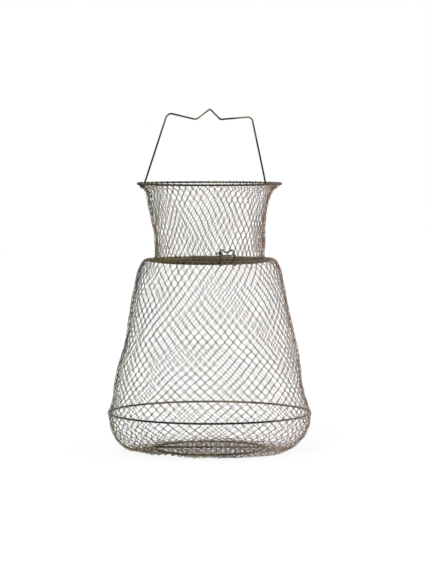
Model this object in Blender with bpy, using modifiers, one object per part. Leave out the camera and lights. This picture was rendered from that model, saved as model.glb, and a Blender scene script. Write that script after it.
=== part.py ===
"""Collapsible wire keep net: four wire rings, a netted basket, a sprung lid and a bail.

The basket stands on its base ring with +Z up and its axis on the Z axis. The bail and
the lid both turn about lines along X, and the lid opens down into the basket.
Lengths are metres.
"""
import math

import bmesh
import bpy
from mathutils import Matrix, Vector

# Driving dimensions: the rings and how high they stand.
GAP = 0.0003
RING_WIRE = 0.0030
BELLY_WIRE = 0.0032
BASE_RING_RADIUS = 0.0887
BELLY_RING_RADIUS = 0.1650
NECK_RING_RADIUS = 0.0900
TOP_RING_RADIUS = 0.1170
BASE_RING_Z = RING_WIRE / 2
BELLY_RING_Z = 0.0610
NECK_RING_Z = 0.3130
TOP_RING_Z = 0.4380
ROUND_STEPS = 48

# The netting, as walls that hold the space of the wire mesh.
WALL = 0.0016
FLAT_NET_THICKNESS = 0.0016
FLAT_NET_CELL = 0.0146
FLAT_NET_STRAND = 0.0015
LEAST_GAP_AREA = 2.4e-5

# Wall outlines as (radius, height), each from its upper edge down to its lower edge.
UPPER_THROAT = ((0.1152, 0.4358), (0.1066, 0.4305), (0.1024, 0.4220), (0.0990, 0.4080),
                (0.0962, 0.3880), (0.0945, 0.3700))
LOWER_THROAT = ((0.0914, 0.3720), (0.0902, 0.3440), (0.0902, 0.3148))
SHOULDER = ((0.0923, 0.3133), (0.1010, 0.3129), (0.1073, 0.3103), (0.1117, 0.3045))
UPPER_BODY = ((0.1120, 0.3038), (0.1158, 0.2930), (0.1185, 0.2795), (0.1256, 0.2465),
              (0.1318, 0.2135), (0.1366, 0.1880))
LOWER_BODY = ((0.1390, 0.1900), (0.1478, 0.1475), (0.1536, 0.1155), (0.1588, 0.0825),
              (0.1642, 0.0631))
BOWL_FLAT_RADIUS = 0.1150
BOWL_RIM_RADIUS = 0.1646
BOWL_RIM_Z = 0.0589
BOWL_FLOOR_Z = 0.0010
BOWL_SPLIT = math.radians(50.0)

# The lid under the neck ring, its hinge bar and what holds it.
LID_WIRE = 0.0024
LID_RADIUS = 0.0880
LID_Z = NECK_RING_Z - 0.0028
HINGE_HALF_BAR = 0.0220
HINGE_Y = math.sqrt(LID_RADIUS ** 2 - HINGE_HALF_BAR ** 2)
LID_NET_BACK = HINGE_Y - 0.0055
LOOP_X = 0.0160
LOOP_WIRE = 0.0016
LOOP_BEND = 0.0028
LID_FRAME_STEPS = 47

# The torsion spring wound on the hinge bar.
SPRING_WIRE = 0.0011
SPRING_RADIUS = 0.0023
SPRING_TURNS = 7
SPRING_HALF_WIDTH = 0.0070
SPRING_POINTS_PER_TURN = 9
SPRING_LID_LEG = 0.0260
SPRING_NECK_LEG = 0.0080

# The finger tab on the front of the lid frame.
TAB_WIRE = 0.0022
TAB_RADIUS = 0.0846
TAB_TURN = math.radians(-8.3)
TAB_HALF_WIDTH = 0.0122
TAB_PEAK = 0.0202
TAB_DIP = 0.0155
TAB_CROSS_HEIGHT = 0.0112
TAB_CROSS_WIRE = 0.0016
TAB_WRAP_TURNS = 2.5
TAB_WRAP_PITCH = 0.0024

# The bail, upright in its own frame with the hooks' crowns on the turning line.
BAIL_WIRE = 0.0030
BAIL_Y = 0.0140
BAIL_LEAN = math.radians(8.0)
BAIL_HOOK_HALF_WIDTH = 0.0043
BAIL_CROWN_DROP = RING_WIRE / 2 + BAIL_WIRE / 2 + GAP
BAIL_FOOT_X = math.sqrt(TOP_RING_RADIUS ** 2 - BAIL_Y ** 2)
BAIL_TAIL = 0.0020
BAIL_KNEE = 0.0030
BAIL_CORNER_RADIUS = 0.0100
BAIL_LEFT_CORNER = (-0.0785, 0.1205)
BAIL_LEFT_VALLEY = (-0.0250, 0.1093)
BAIL_PEAK = (-0.0010, 0.1268)
BAIL_RIGHT_VALLEY = (0.0195, 0.1095)
BAIL_RIGHT_CORNER = (0.0780, 0.1140)

# The wires across the base, turned about the basket's axis.
BASE_TURN = math.radians(-28.0)
CROSS_ROD_WIRE = 0.0025
CROSS_ROD_Y = -0.0100
TIE_WIRE = 0.0020
TIE_X = -0.0170


def clear_scene():
    """Remove every object that is already in the scene."""
    for obj in list(bpy.data.objects):
        bpy.data.objects.remove(obj, do_unlink=True)


def new_collection(name):
    """Make a collection under the scene's own."""
    collection = bpy.data.collections.new(name)
    bpy.context.scene.collection.children.link(collection)
    return collection


def wire_metal(name, colour, roughness, metallic):
    """Make one piece's metal."""
    material = bpy.data.materials.new(name)
    material.use_nodes = True
    shader = material.node_tree.nodes["Principled BSDF"]
    shader.inputs["Base Color"].default_value = (*colour, 1.0)
    shader.inputs["Roughness"].default_value = roughness
    shader.inputs["Metallic"].default_value = metallic
    return material


def plated_wire(name):
    """The dark plated wire of the rings, the lid frame and the bail."""
    return wire_metal(name + "_wire", (0.055, 0.053, 0.048), 0.35, 0.9)


def net_wire(name):
    """The thinner grey-brown wire of the netting."""
    return wire_metal(name + "_netting", (0.23, 0.21, 0.18), 0.45, 0.8)


def finish_piece(obj, collection, material):
    """Put an object in the assembly with its own material."""
    for other in list(obj.users_collection):
        other.objects.unlink(obj)
    collection.objects.link(obj)
    obj.data.materials.clear()
    obj.data.materials.append(material)
    if obj.type == "MESH":
        obj.data.shade_smooth()
        obj.data.set_sharp_from_angle(angle=math.radians(40))
    return obj


def rounded_path(points, radius, steps=4):
    """Join points by straight runs, with each inner corner turned into an arc."""
    path = [Vector(points[0])]
    for before, corner, after in zip(points, points[1:], points[2:]):
        corner = Vector(corner)
        back = (Vector(before) - corner)
        ahead = (Vector(after) - corner)
        half_angle = back.angle(ahead) / 2
        reach = radius / math.tan(half_angle)
        reach = min(reach, back.length * 0.45, ahead.length * 0.45)
        bend = reach * math.tan(half_angle)
        inward = (back.normalized() + ahead.normalized()).normalized()
        centre = corner + inward * (bend / math.sin(half_angle))
        start = (corner + back.normalized() * reach - centre).normalized()
        end = (corner + ahead.normalized() * reach - centre).normalized()
        for step in range(steps + 1):
            path.append(centre + start.slerp(end, step / steps) * bend)
    path.append(Vector(points[-1]))
    return path


def wire(name, path, diameter, closed=False, resolution=2):
    """A round wire along a path, with its ends capped."""
    curve = bpy.data.curves.new(name, "CURVE")
    curve.dimensions = "3D"
    curve.bevel_depth = diameter / 2
    curve.bevel_resolution = resolution
    curve.use_fill_caps = True
    spline = curve.splines.new("POLY")
    spline.points.add(len(path) - 1)
    for point, place in zip(spline.points, path):
        point.co = (*place, 1.0)
    spline.use_cyclic_u = closed
    return bpy.data.objects.new(name, curve)


def ring(name, radius, diameter, height):
    """A welded wire ring, lying flat, whose lowest facet is flat too."""
    bpy.ops.mesh.primitive_torus_add(
        major_radius=radius,
        minor_radius=diameter / 2 / math.cos(math.pi / 8),
        major_segments=ROUND_STEPS,
        minor_segments=8,
        location=(0.0, 0.0, height),
    )
    obj = bpy.context.object
    obj.name = name
    turn_section_flat(obj.data, radius)
    return obj


def turn_section_flat(mesh, radius):
    """Turn a torus's eight-sided section by half a side, so that a facet faces down."""
    half_side = math.pi / 8
    for vertex in mesh.vertices:
        around = math.atan2(vertex.co.y, vertex.co.x)
        out = math.hypot(vertex.co.x, vertex.co.y) - radius
        up = vertex.co.z
        new_out = out * math.cos(half_side) - up * math.sin(half_side)
        new_up = out * math.sin(half_side) + up * math.cos(half_side)
        reach = radius + new_out
        vertex.co = (reach * math.cos(around), reach * math.sin(around), new_up)


def net_wall(name, outline):
    """A turned wall that holds the space of a stretch of netting."""
    mesh = bpy.data.meshes.new(name)
    places = [(radius, 0.0, height) for radius, height in outline]
    edges = [(index, index + 1) for index in range(len(places) - 1)]
    mesh.from_pydata(places, edges, [])
    obj = bpy.data.objects.new(name, mesh)
    turn = obj.modifiers.new("Turn", "SCREW")
    turn.axis = "Z"
    turn.angle = math.tau
    turn.steps = ROUND_STEPS
    turn.render_steps = ROUND_STEPS
    turn.use_merge_vertices = True
    turn.merge_threshold = 0.0001
    thick = obj.modifiers.new("Wall", "SOLIDIFY")
    thick.thickness = WALL
    thick.offset = 0.0
    return obj


def bowl_outline(start, end, steps):
    """A stretch of the bowl's quarter ellipse, from its rim (0) towards its floor (90 degrees)."""
    outline = []
    for step in range(steps + 1):
        angle = start + (end - start) * step / steps
        out = (BOWL_RIM_RADIUS - BOWL_FLAT_RADIUS) * math.cos(angle)
        down = (BOWL_RIM_Z - BOWL_FLOOR_Z) * math.sin(angle)
        outline.append((BOWL_FLAT_RADIUS + out, BOWL_RIM_Z - down))
    return outline


def cutter_box(name, collection, size, place):
    """A box that is cut from other pieces."""
    bpy.ops.mesh.primitive_cube_add(size=1.0, location=place)
    obj = bpy.context.object
    obj.name = name
    obj.data.transform(Matrix.Diagonal((*size, 1.0)))
    for other in list(obj.users_collection):
        other.objects.unlink(obj)
    collection.objects.link(obj)
    obj.hide_render = True
    obj.display_type = "WIRE"
    return obj


def cut(obj, cutter):
    """Cut one piece by a cutter."""
    opening = obj.modifiers.new(cutter.name, "BOOLEAN")
    opening.operation = "DIFFERENCE"
    opening.solver = "EXACT"
    opening.object = cutter
    return obj


def clip_to_edge(polygon, point, inward):
    """Keep the part of a convex polygon on the inner side of one line."""
    kept = []
    for start, end in zip(polygon, polygon[1:] + polygon[:1]):
        start_side = (start - point).dot(inward)
        end_side = (end - point).dot(inward)
        if start_side >= 0.0:
            kept.append(start)
        if start_side * end_side < 0.0:
            kept.append(start.lerp(end, start_side / (start_side - end_side)))
    return kept


def polygon_area(polygon):
    """The area inside a polygon."""
    doubled = 0.0
    for start, end in zip(polygon, polygon[1:] + polygon[:1]):
        doubled += start.x * end.y - end.x * start.y
    return abs(doubled) / 2


def merge_close_points(polygon, distance):
    """Drop the points that lie on top of the one before."""
    kept = []
    for point in polygon:
        if not kept or (point - kept[-1]).length > distance:
            kept.append(point)
    if len(kept) > 1 and (kept[0] - kept[-1]).length <= distance:
        kept.pop()
    return kept


def disc_outline(radius, back):
    """A round outline, whose back half is an ellipse that reaches only as far as back."""
    outline = []
    for step in range(ROUND_STEPS):
        angle = math.tau * step / ROUND_STEPS
        reach = back if math.sin(angle) > 0.0 else radius
        outline.append(Vector((radius * math.cos(angle), reach * math.sin(angle))))
    return outline


def net_gaps(outline, rim):
    """The diamond gaps of a flat net, each clipped by the net's rim."""
    half = FLAT_NET_CELL / math.sqrt(2)
    open_half = (FLAT_NET_CELL - FLAT_NET_STRAND) / math.sqrt(2)
    count = int(0.1 / half) + 1
    centre = Vector((0.0, 0.0))
    gaps = []
    for column in range(-count, count + 1):
        for row in range(-count, count + 1):
            if (column + row) % 2 == 0:
                continue
            middle = Vector((column * half, row * half))
            gap = [
                middle + Vector((open_half, 0.0)),
                middle + Vector((0.0, open_half)),
                middle - Vector((open_half, 0.0)),
                middle - Vector((0.0, open_half)),
            ]
            for start, end in zip(outline, outline[1:] + outline[:1]):
                along = (end - start).normalized()
                inward = Vector((-along.y, along.x))
                if inward.dot(centre - start) < 0.0:
                    inward = -inward
                gap = clip_to_edge(gap, start + inward * rim, inward)
                if len(gap) < 3:
                    break
            gap = merge_close_points(gap, 0.0002)
            if len(gap) >= 3 and polygon_area(gap) > LEAST_GAP_AREA:
                gaps.append(gap)
    return gaps


def flat_net(name, outline, height):
    """A flat net as one plate with its real gaps open, turned into a closed mesh."""
    curve = bpy.data.curves.new(name, "CURVE")
    curve.dimensions = "2D"
    curve.fill_mode = "BOTH"
    curve.extrude = FLAT_NET_THICKNESS / 2
    for loop in [outline] + net_gaps(outline, FLAT_NET_STRAND):
        spline = curve.splines.new("POLY")
        spline.points.add(len(loop) - 1)
        for point, place in zip(spline.points, loop):
            point.co = (place.x, place.y, 0.0, 1.0)
        spline.use_cyclic_u = True
    flat = bpy.data.objects.new(name + "_outline", curve)
    bpy.context.scene.collection.objects.link(flat)
    mesh = bpy.data.meshes.new_from_object(
        flat.evaluated_get(bpy.context.evaluated_depsgraph_get()))
    bpy.data.objects.remove(flat, do_unlink=True)
    work = bmesh.new()
    work.from_mesh(mesh)
    bmesh.ops.remove_doubles(work, verts=work.verts, dist=0.000005)
    bmesh.ops.recalc_face_normals(work, faces=work.faces)
    work.to_mesh(mesh)
    work.free()
    mesh.name = name
    mesh.transform(Matrix.Translation((0.0, 0.0, height)))
    return bpy.data.objects.new(name, mesh)


def pivot(name, collection, place):
    """An empty on a joint's axis, which carries the pieces that move with it."""
    empty = bpy.data.objects.new(name, None)
    empty.empty_display_size = 0.02
    empty.location = place
    collection.objects.link(empty)
    return empty


def carry(carrier, *pieces):
    """Parent pieces to an empty without moving them."""
    for piece in pieces:
        piece.parent = carrier
        piece.matrix_parent_inverse = Matrix.Translation(carrier.location).inverted()


def least_gap_to_itself(path, diameter, skip):
    """The least gap between the turns of a wire, measured on its points."""
    least = math.inf
    for index, point in enumerate(path):
        for other in path[index + skip:]:
            least = min(least, (other - point).length)
    return least - diameter


def lid_frame_path():
    """The lid's round wire, drawn straight across the back as its hinge bar."""
    half_bar_angle = math.asin(HINGE_HALF_BAR / LID_RADIUS)
    start = math.pi / 2 + half_bar_angle
    sweep = math.tau - 2 * half_bar_angle
    path = []
    for step in range(LID_FRAME_STEPS + 1):
        angle = start + sweep * step / LID_FRAME_STEPS
        path.append(Vector((LID_RADIUS * math.cos(angle), LID_RADIUS * math.sin(angle), LID_Z)))
    return path


def hinge_loop_path(side):
    """A long closed loop round the neck ring and the hinge bar, square to the bar."""
    ring_y = math.sqrt(NECK_RING_RADIUS ** 2 - LOOP_X ** 2)
    upper = Vector((side * LOOP_X, ring_y, NECK_RING_Z))
    lower = Vector((side * LOOP_X, HINGE_Y, LID_Z))
    along = (upper - lower).normalized()
    across = Vector((0.0, -along.z, along.y))
    path = []
    for centre, direction in ((upper, 1.0), (lower, -1.0)):
        for step in range(9):
            angle = math.pi * step / 8
            swing = across * math.cos(angle) + along * math.sin(angle)
            path.append(centre + swing * (LOOP_BEND * direction))
    return path


def spring_path():
    """The torsion spring: one leg under the lid, its turns on the bar, one leg under the ring."""
    axis = Vector((0.0, HINGE_Y, LID_Z))
    bottom = -math.pi / 2
    path = [axis + Vector((-SPRING_HALF_WIDTH, -SPRING_LID_LEG, -SPRING_RADIUS))]
    path.append(axis + Vector((-SPRING_HALF_WIDTH, -SPRING_LID_LEG / 2, -SPRING_RADIUS)))
    steps = SPRING_TURNS * SPRING_POINTS_PER_TURN
    for step in range(steps + 1):
        share = step / steps
        angle = bottom + math.tau * SPRING_TURNS * share
        across = SPRING_HALF_WIDTH * (2 * share - 1)
        turn = Vector((across, SPRING_RADIUS * math.cos(angle), SPRING_RADIUS * math.sin(angle)))
        path.append(axis + turn)
    path.append(axis + Vector((SPRING_HALF_WIDTH, SPRING_NECK_LEG, -SPRING_RADIUS / 2)))
    return path


def foot_hook(side, reach, drop, post_radius):
    """A wire's end, hooked from the inside under the lid frame and up its outer side."""
    path = []
    for step in range(7):
        angle = math.radians(-20.0) - math.radians(160.0) * step / 6
        radius = LID_RADIUS - (LID_RADIUS - post_radius) * -math.cos(angle)
        path.append(Vector((side * reach, -radius, LID_Z + drop * math.sin(angle))))
    return path


def finger_tab_path():
    """The finger tab: two hooked posts joined by a bow with a dip between two peaks."""
    drop = LID_WIRE / 2 + TAB_WIRE / 2 + GAP
    y = -TAB_RADIUS
    left = foot_hook(-1, TAB_HALF_WIDTH, drop, TAB_RADIUS)
    right = foot_hook(1, TAB_HALF_WIDTH, drop, TAB_RADIUS)
    bow = rounded_path(
        [
            (-TAB_HALF_WIDTH, y, LID_Z),
            (-TAB_HALF_WIDTH, y, NECK_RING_Z + TAB_PEAK),
            (-0.0065, y, NECK_RING_Z + TAB_PEAK),
            (-0.0020, y, NECK_RING_Z + TAB_DIP),
            (0.0020, y, NECK_RING_Z + TAB_DIP),
            (0.0065, y, NECK_RING_Z + TAB_PEAK),
            (TAB_HALF_WIDTH, y, NECK_RING_Z + TAB_PEAK),
            (TAB_HALF_WIDTH, y, LID_Z),
        ],
        0.0030,
    )
    return left + bow + right[::-1]


def tab_cross_path():
    """The wire across the tab, wrapped round its left post and hooked round its right one."""
    bend = TAB_WIRE / 2 + TAB_CROSS_WIRE / 2 + GAP
    height = NECK_RING_Z + TAB_CROSS_HEIGHT
    path = []
    steps = int(TAB_WRAP_TURNS * 9)
    for step in range(steps + 1):
        turned = math.tau * TAB_WRAP_TURNS * step / steps
        angle = math.pi / 2 - math.tau * TAB_WRAP_TURNS + turned
        rise = TAB_WRAP_PITCH * (TAB_WRAP_TURNS - turned / math.tau)
        path.append(Vector((
            -TAB_HALF_WIDTH + bend * math.cos(angle),
            -TAB_RADIUS + bend * math.sin(angle),
            height + rise,
        )))
    for step in range(7):
        angle = math.pi / 2 - math.radians(200.0) * step / 6
        path.append(Vector((
            TAB_HALF_WIDTH + bend * math.cos(angle),
            -TAB_RADIUS + bend * math.sin(angle),
            height,
        )))
    return path


def bail_hook(side):
    """A foot of the bail: its tail outside the ring, the crown under it, the leg inside."""
    path = [Vector((side * (BAIL_FOOT_X + BAIL_HOOK_HALF_WIDTH), 0.0, BAIL_CROWN_DROP + BAIL_TAIL))]
    for step in range(9):
        angle = math.pi * step / 8
        out = BAIL_FOOT_X + BAIL_HOOK_HALF_WIDTH * math.cos(angle)
        path.append(Vector((side * out, 0.0, BAIL_CROWN_DROP * (1 - math.sin(angle)))))
    return path


def bail_path():
    """The bail, upright: two hooked feet, leaning legs, and a top with a raised middle."""
    inner_x = BAIL_FOOT_X - BAIL_HOOK_HALF_WIDTH
    knee_z = BAIL_CROWN_DROP + BAIL_KNEE
    foot_z = BAIL_CROWN_DROP + BAIL_KNEE / 4
    corners = [
        (-inner_x, foot_z),
        (-inner_x, knee_z),
        BAIL_LEFT_CORNER,
        BAIL_LEFT_VALLEY,
        BAIL_PEAK,
        BAIL_RIGHT_VALLEY,
        BAIL_RIGHT_CORNER,
        (inner_x, knee_z),
        (inner_x, foot_z),
    ]
    over = rounded_path([(x, 0.0, z) for x, z in corners], BAIL_CORNER_RADIUS)
    return bail_hook(-1) + over + bail_hook(1)[::-1]


def build_rings(parts):
    """The four rings that the netting is threaded on."""
    base_ring = ring("base_ring", BASE_RING_RADIUS, RING_WIRE, BASE_RING_Z)
    belly_ring = ring("belly_ring", BELLY_RING_RADIUS, BELLY_WIRE, BELLY_RING_Z)
    neck_ring = ring("neck_ring", NECK_RING_RADIUS, RING_WIRE, NECK_RING_Z)
    top_ring = ring("top_ring", TOP_RING_RADIUS, RING_WIRE, TOP_RING_Z)
    for obj in (base_ring, belly_ring, neck_ring, top_ring):
        finish_piece(obj, parts, plated_wire(obj.name))
    return neck_ring, top_ring


def build_netting(parts, cutters):
    """The netting from the base ring to the top ring, in the bands between the rings."""
    edge = GAP / BOWL_RIM_RADIUS * 3
    bowl_side = net_wall("bowl_side_net", bowl_outline(0.0, BOWL_SPLIT - edge, 4))
    floor_curve = bowl_outline(BOWL_SPLIT + edge, math.pi / 2, 4)
    floor_inner = (BASE_RING_RADIUS + RING_WIRE / 2 + GAP * 2, BOWL_FLOOR_Z)
    bowl_floor = net_wall("bowl_floor_net", floor_curve + [floor_inner])
    lower_body = net_wall("lower_body_net", LOWER_BODY)
    upper_body = net_wall("upper_body_net", UPPER_BODY)
    shoulder = net_wall("shoulder_net", SHOULDER)
    lower_throat = net_wall("lower_throat_net", LOWER_THROAT)
    upper_throat = net_wall("upper_throat_net", UPPER_THROAT)
    for side, label in ((-1, "left"), (1, "right")):
        loop_space = cutter_box(
            "loop_space_" + label, cutters, (0.0056, 0.0180, 0.0170),
            (side * LOOP_X, NECK_RING_RADIUS - 0.0010, NECK_RING_Z - 0.0015))
        cut(shoulder, loop_space)
        cut(lower_throat, loop_space)
        hook_space = cutter_box(
            "hook_space_" + label, cutters, (0.0200, 0.0340, 0.0160),
            (side * BAIL_FOOT_X, BAIL_Y, TOP_RING_Z))
        cut(upper_throat, hook_space)
    walls = (bowl_side, bowl_floor, lower_body, upper_body, shoulder, lower_throat, upper_throat)
    for obj in walls:
        finish_piece(obj, parts, net_wire(obj.name))
    return upper_body, shoulder, lower_throat, upper_throat


def build_base(parts):
    """The flat net across the base ring and the two wires that stiffen it."""
    net_radius = BASE_RING_RADIUS - RING_WIRE / 2 - GAP
    base_net = flat_net("base_net", disc_outline(net_radius, net_radius), FLAT_NET_THICKNESS / 2)
    finish_piece(base_net, parts, net_wire("base_net"))
    rod_z = RING_WIRE + GAP + CROSS_ROD_WIRE / 2
    half_rod = math.sqrt(BASE_RING_RADIUS ** 2 - CROSS_ROD_Y ** 2)
    rod = wire("base_cross_rod", [
        Vector((-half_rod, CROSS_ROD_Y, rod_z)),
        Vector((half_rod, CROSS_ROD_Y, rod_z)),
    ], CROSS_ROD_WIRE)
    tie_back = math.sqrt(BASE_RING_RADIUS ** 2 - TIE_X ** 2)
    tie_low = RING_WIRE + GAP * 2 + TIE_WIRE / 2
    tie_high = rod_z + CROSS_ROD_WIRE / 2 + GAP + TIE_WIRE / 2
    tie = wire("base_tie_wire", [
        Vector((TIE_X, CROSS_ROD_Y, tie_high)),
        Vector((TIE_X, tie_back, tie_low)),
    ], TIE_WIRE)
    for obj in (rod, tie):
        obj.rotation_euler = (0.0, 0.0, BASE_TURN)
        finish_piece(obj, parts, plated_wire(obj.name))


def build_lid(parts, cutters):
    """The lid: its frame with the hinge bar, its net, and the finger tab."""
    frame = wire("lid_frame", lid_frame_path(), LID_WIRE, closed=True)
    net_radius = LID_RADIUS - LID_WIRE / 2 - GAP * 2
    net = flat_net("lid_net", disc_outline(net_radius, LID_NET_BACK), LID_Z)
    for side, label in ((-1, "left"), (1, "right")):
        around = Matrix.Rotation(TAB_TURN, 3, "Z")
        place = around @ Vector((side * TAB_HALF_WIDTH, -TAB_RADIUS - 0.0010, LID_Z))
        foot_space = cutter_box("foot_space_" + label, cutters, (0.0036, 0.0080, 0.0100), place)
        foot_space.rotation_euler = (0.0, 0.0, TAB_TURN)
        cut(net, foot_space)
    tab = wire("finger_tab", finger_tab_path(), TAB_WIRE)
    cross = wire("tab_cross_wire", tab_cross_path(), TAB_CROSS_WIRE, resolution=1)
    for obj in (tab, cross):
        obj.rotation_euler = (0.0, 0.0, TAB_TURN)
    finish_piece(net, parts, net_wire("lid_net"))
    for obj in (frame, tab, cross):
        finish_piece(obj, parts, plated_wire(obj.name))
    return frame, net, tab, cross


def build_hinge(parts):
    """The two loops that hang the hinge bar from the neck ring, and the spring between them."""
    left = wire("hinge_loop_left", hinge_loop_path(-1), LOOP_WIRE, closed=True)
    right = wire("hinge_loop_right", hinge_loop_path(1), LOOP_WIRE, closed=True)
    path = spring_path()
    spring = wire("lid_spring", path, SPRING_WIRE, resolution=1)
    gap = least_gap_to_itself(path, SPRING_WIRE, SPRING_POINTS_PER_TURN // 2 + 1)
    print(f"lid_spring: least gap to itself {gap * 1000:.2f} mm")
    for obj in (left, right, spring):
        finish_piece(obj, parts, plated_wire(obj.name))
    return left, right, spring


def build_bail(parts):
    """The bail, leaning a little towards the front as it is left to stand."""
    bail = wire("bail", bail_path(), BAIL_WIRE)
    bail.location = (0.0, BAIL_Y, TOP_RING_Z - BAIL_CROWN_DROP)
    bail.rotation_euler = (BAIL_LEAN, 0.0, 0.0)
    finish_piece(bail, parts, plated_wire("bail"))
    return bail


def main():
    """Build every piece and hang the moving ones on their joints' axes."""
    clear_scene()
    parts = new_collection("wire_keep_net")
    cutters = new_collection("cutters")
    neck_ring, top_ring = build_rings(parts)
    upper_body, shoulder, lower_throat, upper_throat = build_netting(parts, cutters)
    build_base(parts)
    lid_pieces = build_lid(parts, cutters)
    hinge_pieces = build_hinge(parts)
    bail = build_bail(parts)
    neck_slide = pivot("neck_slide", parts, (0.0, 0.0, NECK_RING_Z))
    top_slide = pivot("top_slide", parts, (0.0, 0.0, TOP_RING_Z))
    lid_hinge = pivot("lid_hinge", parts, (0.0, HINGE_Y, LID_Z))
    carry(neck_slide, neck_ring, upper_body, shoulder, lower_throat, *hinge_pieces)
    carry(top_slide, top_ring, upper_throat, bail)
    carry(lid_hinge, *lid_pieces)


if __name__ == "__main__":
    main()
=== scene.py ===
"""Dressed scene of a collapsible wire keep net.

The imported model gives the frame: every piece here is in metres, +Z up, and stands where
the CAD node stands that it takes the place of. The netting is woven from zigzag wires,
each hooked through the next, along one outline from the top ring down to the base ring.
"""
import logging
import math
from dataclasses import dataclass, replace
from enum import Enum

import bpy
import numpy as np
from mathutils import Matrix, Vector


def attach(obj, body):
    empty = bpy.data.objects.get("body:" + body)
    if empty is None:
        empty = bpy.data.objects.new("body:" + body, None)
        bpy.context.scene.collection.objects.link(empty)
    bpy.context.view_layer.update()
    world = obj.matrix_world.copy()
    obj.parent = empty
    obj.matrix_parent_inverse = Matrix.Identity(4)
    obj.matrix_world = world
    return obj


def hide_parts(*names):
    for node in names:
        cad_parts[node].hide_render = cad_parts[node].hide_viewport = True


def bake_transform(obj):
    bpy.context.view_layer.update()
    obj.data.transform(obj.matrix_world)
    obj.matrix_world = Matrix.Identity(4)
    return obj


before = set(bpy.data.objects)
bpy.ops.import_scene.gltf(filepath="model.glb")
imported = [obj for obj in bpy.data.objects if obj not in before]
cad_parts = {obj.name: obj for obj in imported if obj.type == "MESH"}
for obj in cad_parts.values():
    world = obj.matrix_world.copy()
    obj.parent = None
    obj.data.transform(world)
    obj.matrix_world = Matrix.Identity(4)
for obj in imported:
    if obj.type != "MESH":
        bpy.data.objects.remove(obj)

Socket = bpy.types.NodeSocket
Material = bpy.types.Material

LOG = logging.getLogger("keep_net")
MM = 0.001
UP = np.array([0.0, 0.0, 1.0])
RIGHT = np.array([1.0, 0.0, 0.0])
FLOOR_GAP = 0.00002
VIEW_TURN = math.radians(28.0)
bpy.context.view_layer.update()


class Body(Enum):
    """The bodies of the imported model."""

    BASKET = "basket"
    NECK = "neck"
    TOP = "top"
    LID = "lid"
    BAIL = "bail"


class Slot(Enum):
    """The record's material slots."""

    RING = "ring_wire"
    BAIL = "bail_wire"
    TAB = "tab_wire"
    HINGE = "hinge_wire"
    SPRING = "spring_wire"
    NETTING = "netting_wire"
    FLAT = "flat_netting"


class Drift(Enum):
    """The way that the khaki patches, painted glints and stains, shift over the basket: factors
    of X, Y and Z, and a range.
    """

    # ACROSS paints the right side lighter and UPWARD the top, as painted light; OUTWARD moves the
    # patches towards the rim.
    ACROSS = ((1.0, 0.0, 0.0), -0.110, 0.110)
    OUTWARD = ((1.0, 1.0, 0.0), 0.050, 0.084)
    UPWARD = ((0.0, 0.0, 1.0), 0.485, 0.545)


def unit(vectors: np.ndarray) -> np.ndarray:
    """Scale every vector to length 1."""
    return vectors / np.linalg.norm(vectors, axis=-1, keepdims=True)


def fading(distance: np.ndarray, width: float) -> np.ndarray:
    """What is left of something at a distance: exp(-(distance / width)^2)."""
    return np.exp(-(distance / width) ** 2)


def points(x: np.ndarray, y: np.ndarray, z: np.ndarray | float) -> np.ndarray:
    """Put coordinates together, spread to one shape, on a new last axis."""
    return np.stack(np.broadcast_arrays(x, y, z), axis=-1)


def circle(radius: np.ndarray | float, angle: np.ndarray, z: np.ndarray | float) -> np.ndarray:
    """Points round the Z axis: (radius cos(angle), radius sin(angle), z)."""
    return points(radius * np.cos(angle), radius * np.sin(angle), z)


def smooth_curve(knots: np.ndarray, per_run: int) -> np.ndarray:
    """Carry a smooth curve through knots.

    With s the length of chord up to each knot, the slope at a knot is the step from the
    knot before to the knot after over its share of s. Each run is the cubic that has
    both its ends and both slopes.

    Args:
        knots: the points to pass through, one a row.
        per_run: the number of samples on each run.

    Returns:
        The samples, one a row; knot i is sample i times per_run.
    """
    chord = np.linalg.norm(np.diff(knots, axis=0), axis=1)
    along = np.concatenate([[0.0], np.cumsum(chord)])
    slope = np.gradient(knots, along, axis=0)
    t = (np.arange(per_run) / per_run)[None, :, None]
    start, end = knots[:-1, None, :], knots[1:, None, :]
    leave, arrive = slope[:-1, None, :], slope[1:, None, :]
    run = chord[:, None, None]
    curve = (
        (2 * t ** 3 - 3 * t ** 2 + 1) * start + (t ** 3 - 2 * t ** 2 + t) * run * leave
        + (3 * t ** 2 - 2 * t ** 3) * end + (t ** 3 - t ** 2) * run * arrive
    )
    return np.concatenate([curve.reshape(-1, knots.shape[1]), knots[-1:]])


def bent_path(corners: np.ndarray, radii: np.ndarray, steps: int) -> np.ndarray:
    """Join corners by straight runs, with each inner corner turned into an arc.

    Between the unit directions a and b from a corner back and ahead, half an angle h
    apart, the arc of radius r has its centre r / sin(h) along their sum, and the
    directions out from the centre turn evenly from one run's foot to the other's.

    Args:
        corners: the corners, one a row, with the two ends of the wire.
        radii: the bend radius at each inner corner.
        steps: the number of steps on each arc.

    Returns:
        The wire's centre line, one point a row.
    """
    inner = corners[1:-1]
    back = corners[:-2] - inner
    ahead = corners[2:] - inner
    back_length = np.linalg.norm(back, axis=1)
    ahead_length = np.linalg.norm(ahead, axis=1)
    a, b = unit(back), unit(ahead)
    half = np.arccos(np.clip((a * b).sum(1), -1.0, 1.0)) / 2
    reach = np.minimum(radii / np.tan(half), 0.48 * np.minimum(back_length, ahead_length))
    bend = (reach * np.tan(half))[:, None]
    centre = inner + unit(a + b) * bend / np.sin(half)[:, None]
    first = unit(inner + a * reach[:, None] - centre)
    last = unit(inner + b * reach[:, None] - centre)
    turn = np.arccos(np.clip((first * last).sum(1), -1.0, 1.0))[:, None, None]
    t = np.linspace(0.0, 1.0, steps + 1)[None, :, None]
    swing = (np.sin((1 - t) * turn) * first[:, None, :] + np.sin(t * turn) * last[:, None, :])
    arcs = centre[:, None, :] + swing / np.sin(turn) * bend[:, None, :]
    return np.concatenate([corners[:1], arcs.reshape(-1, 3), corners[-1:]])


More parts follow.
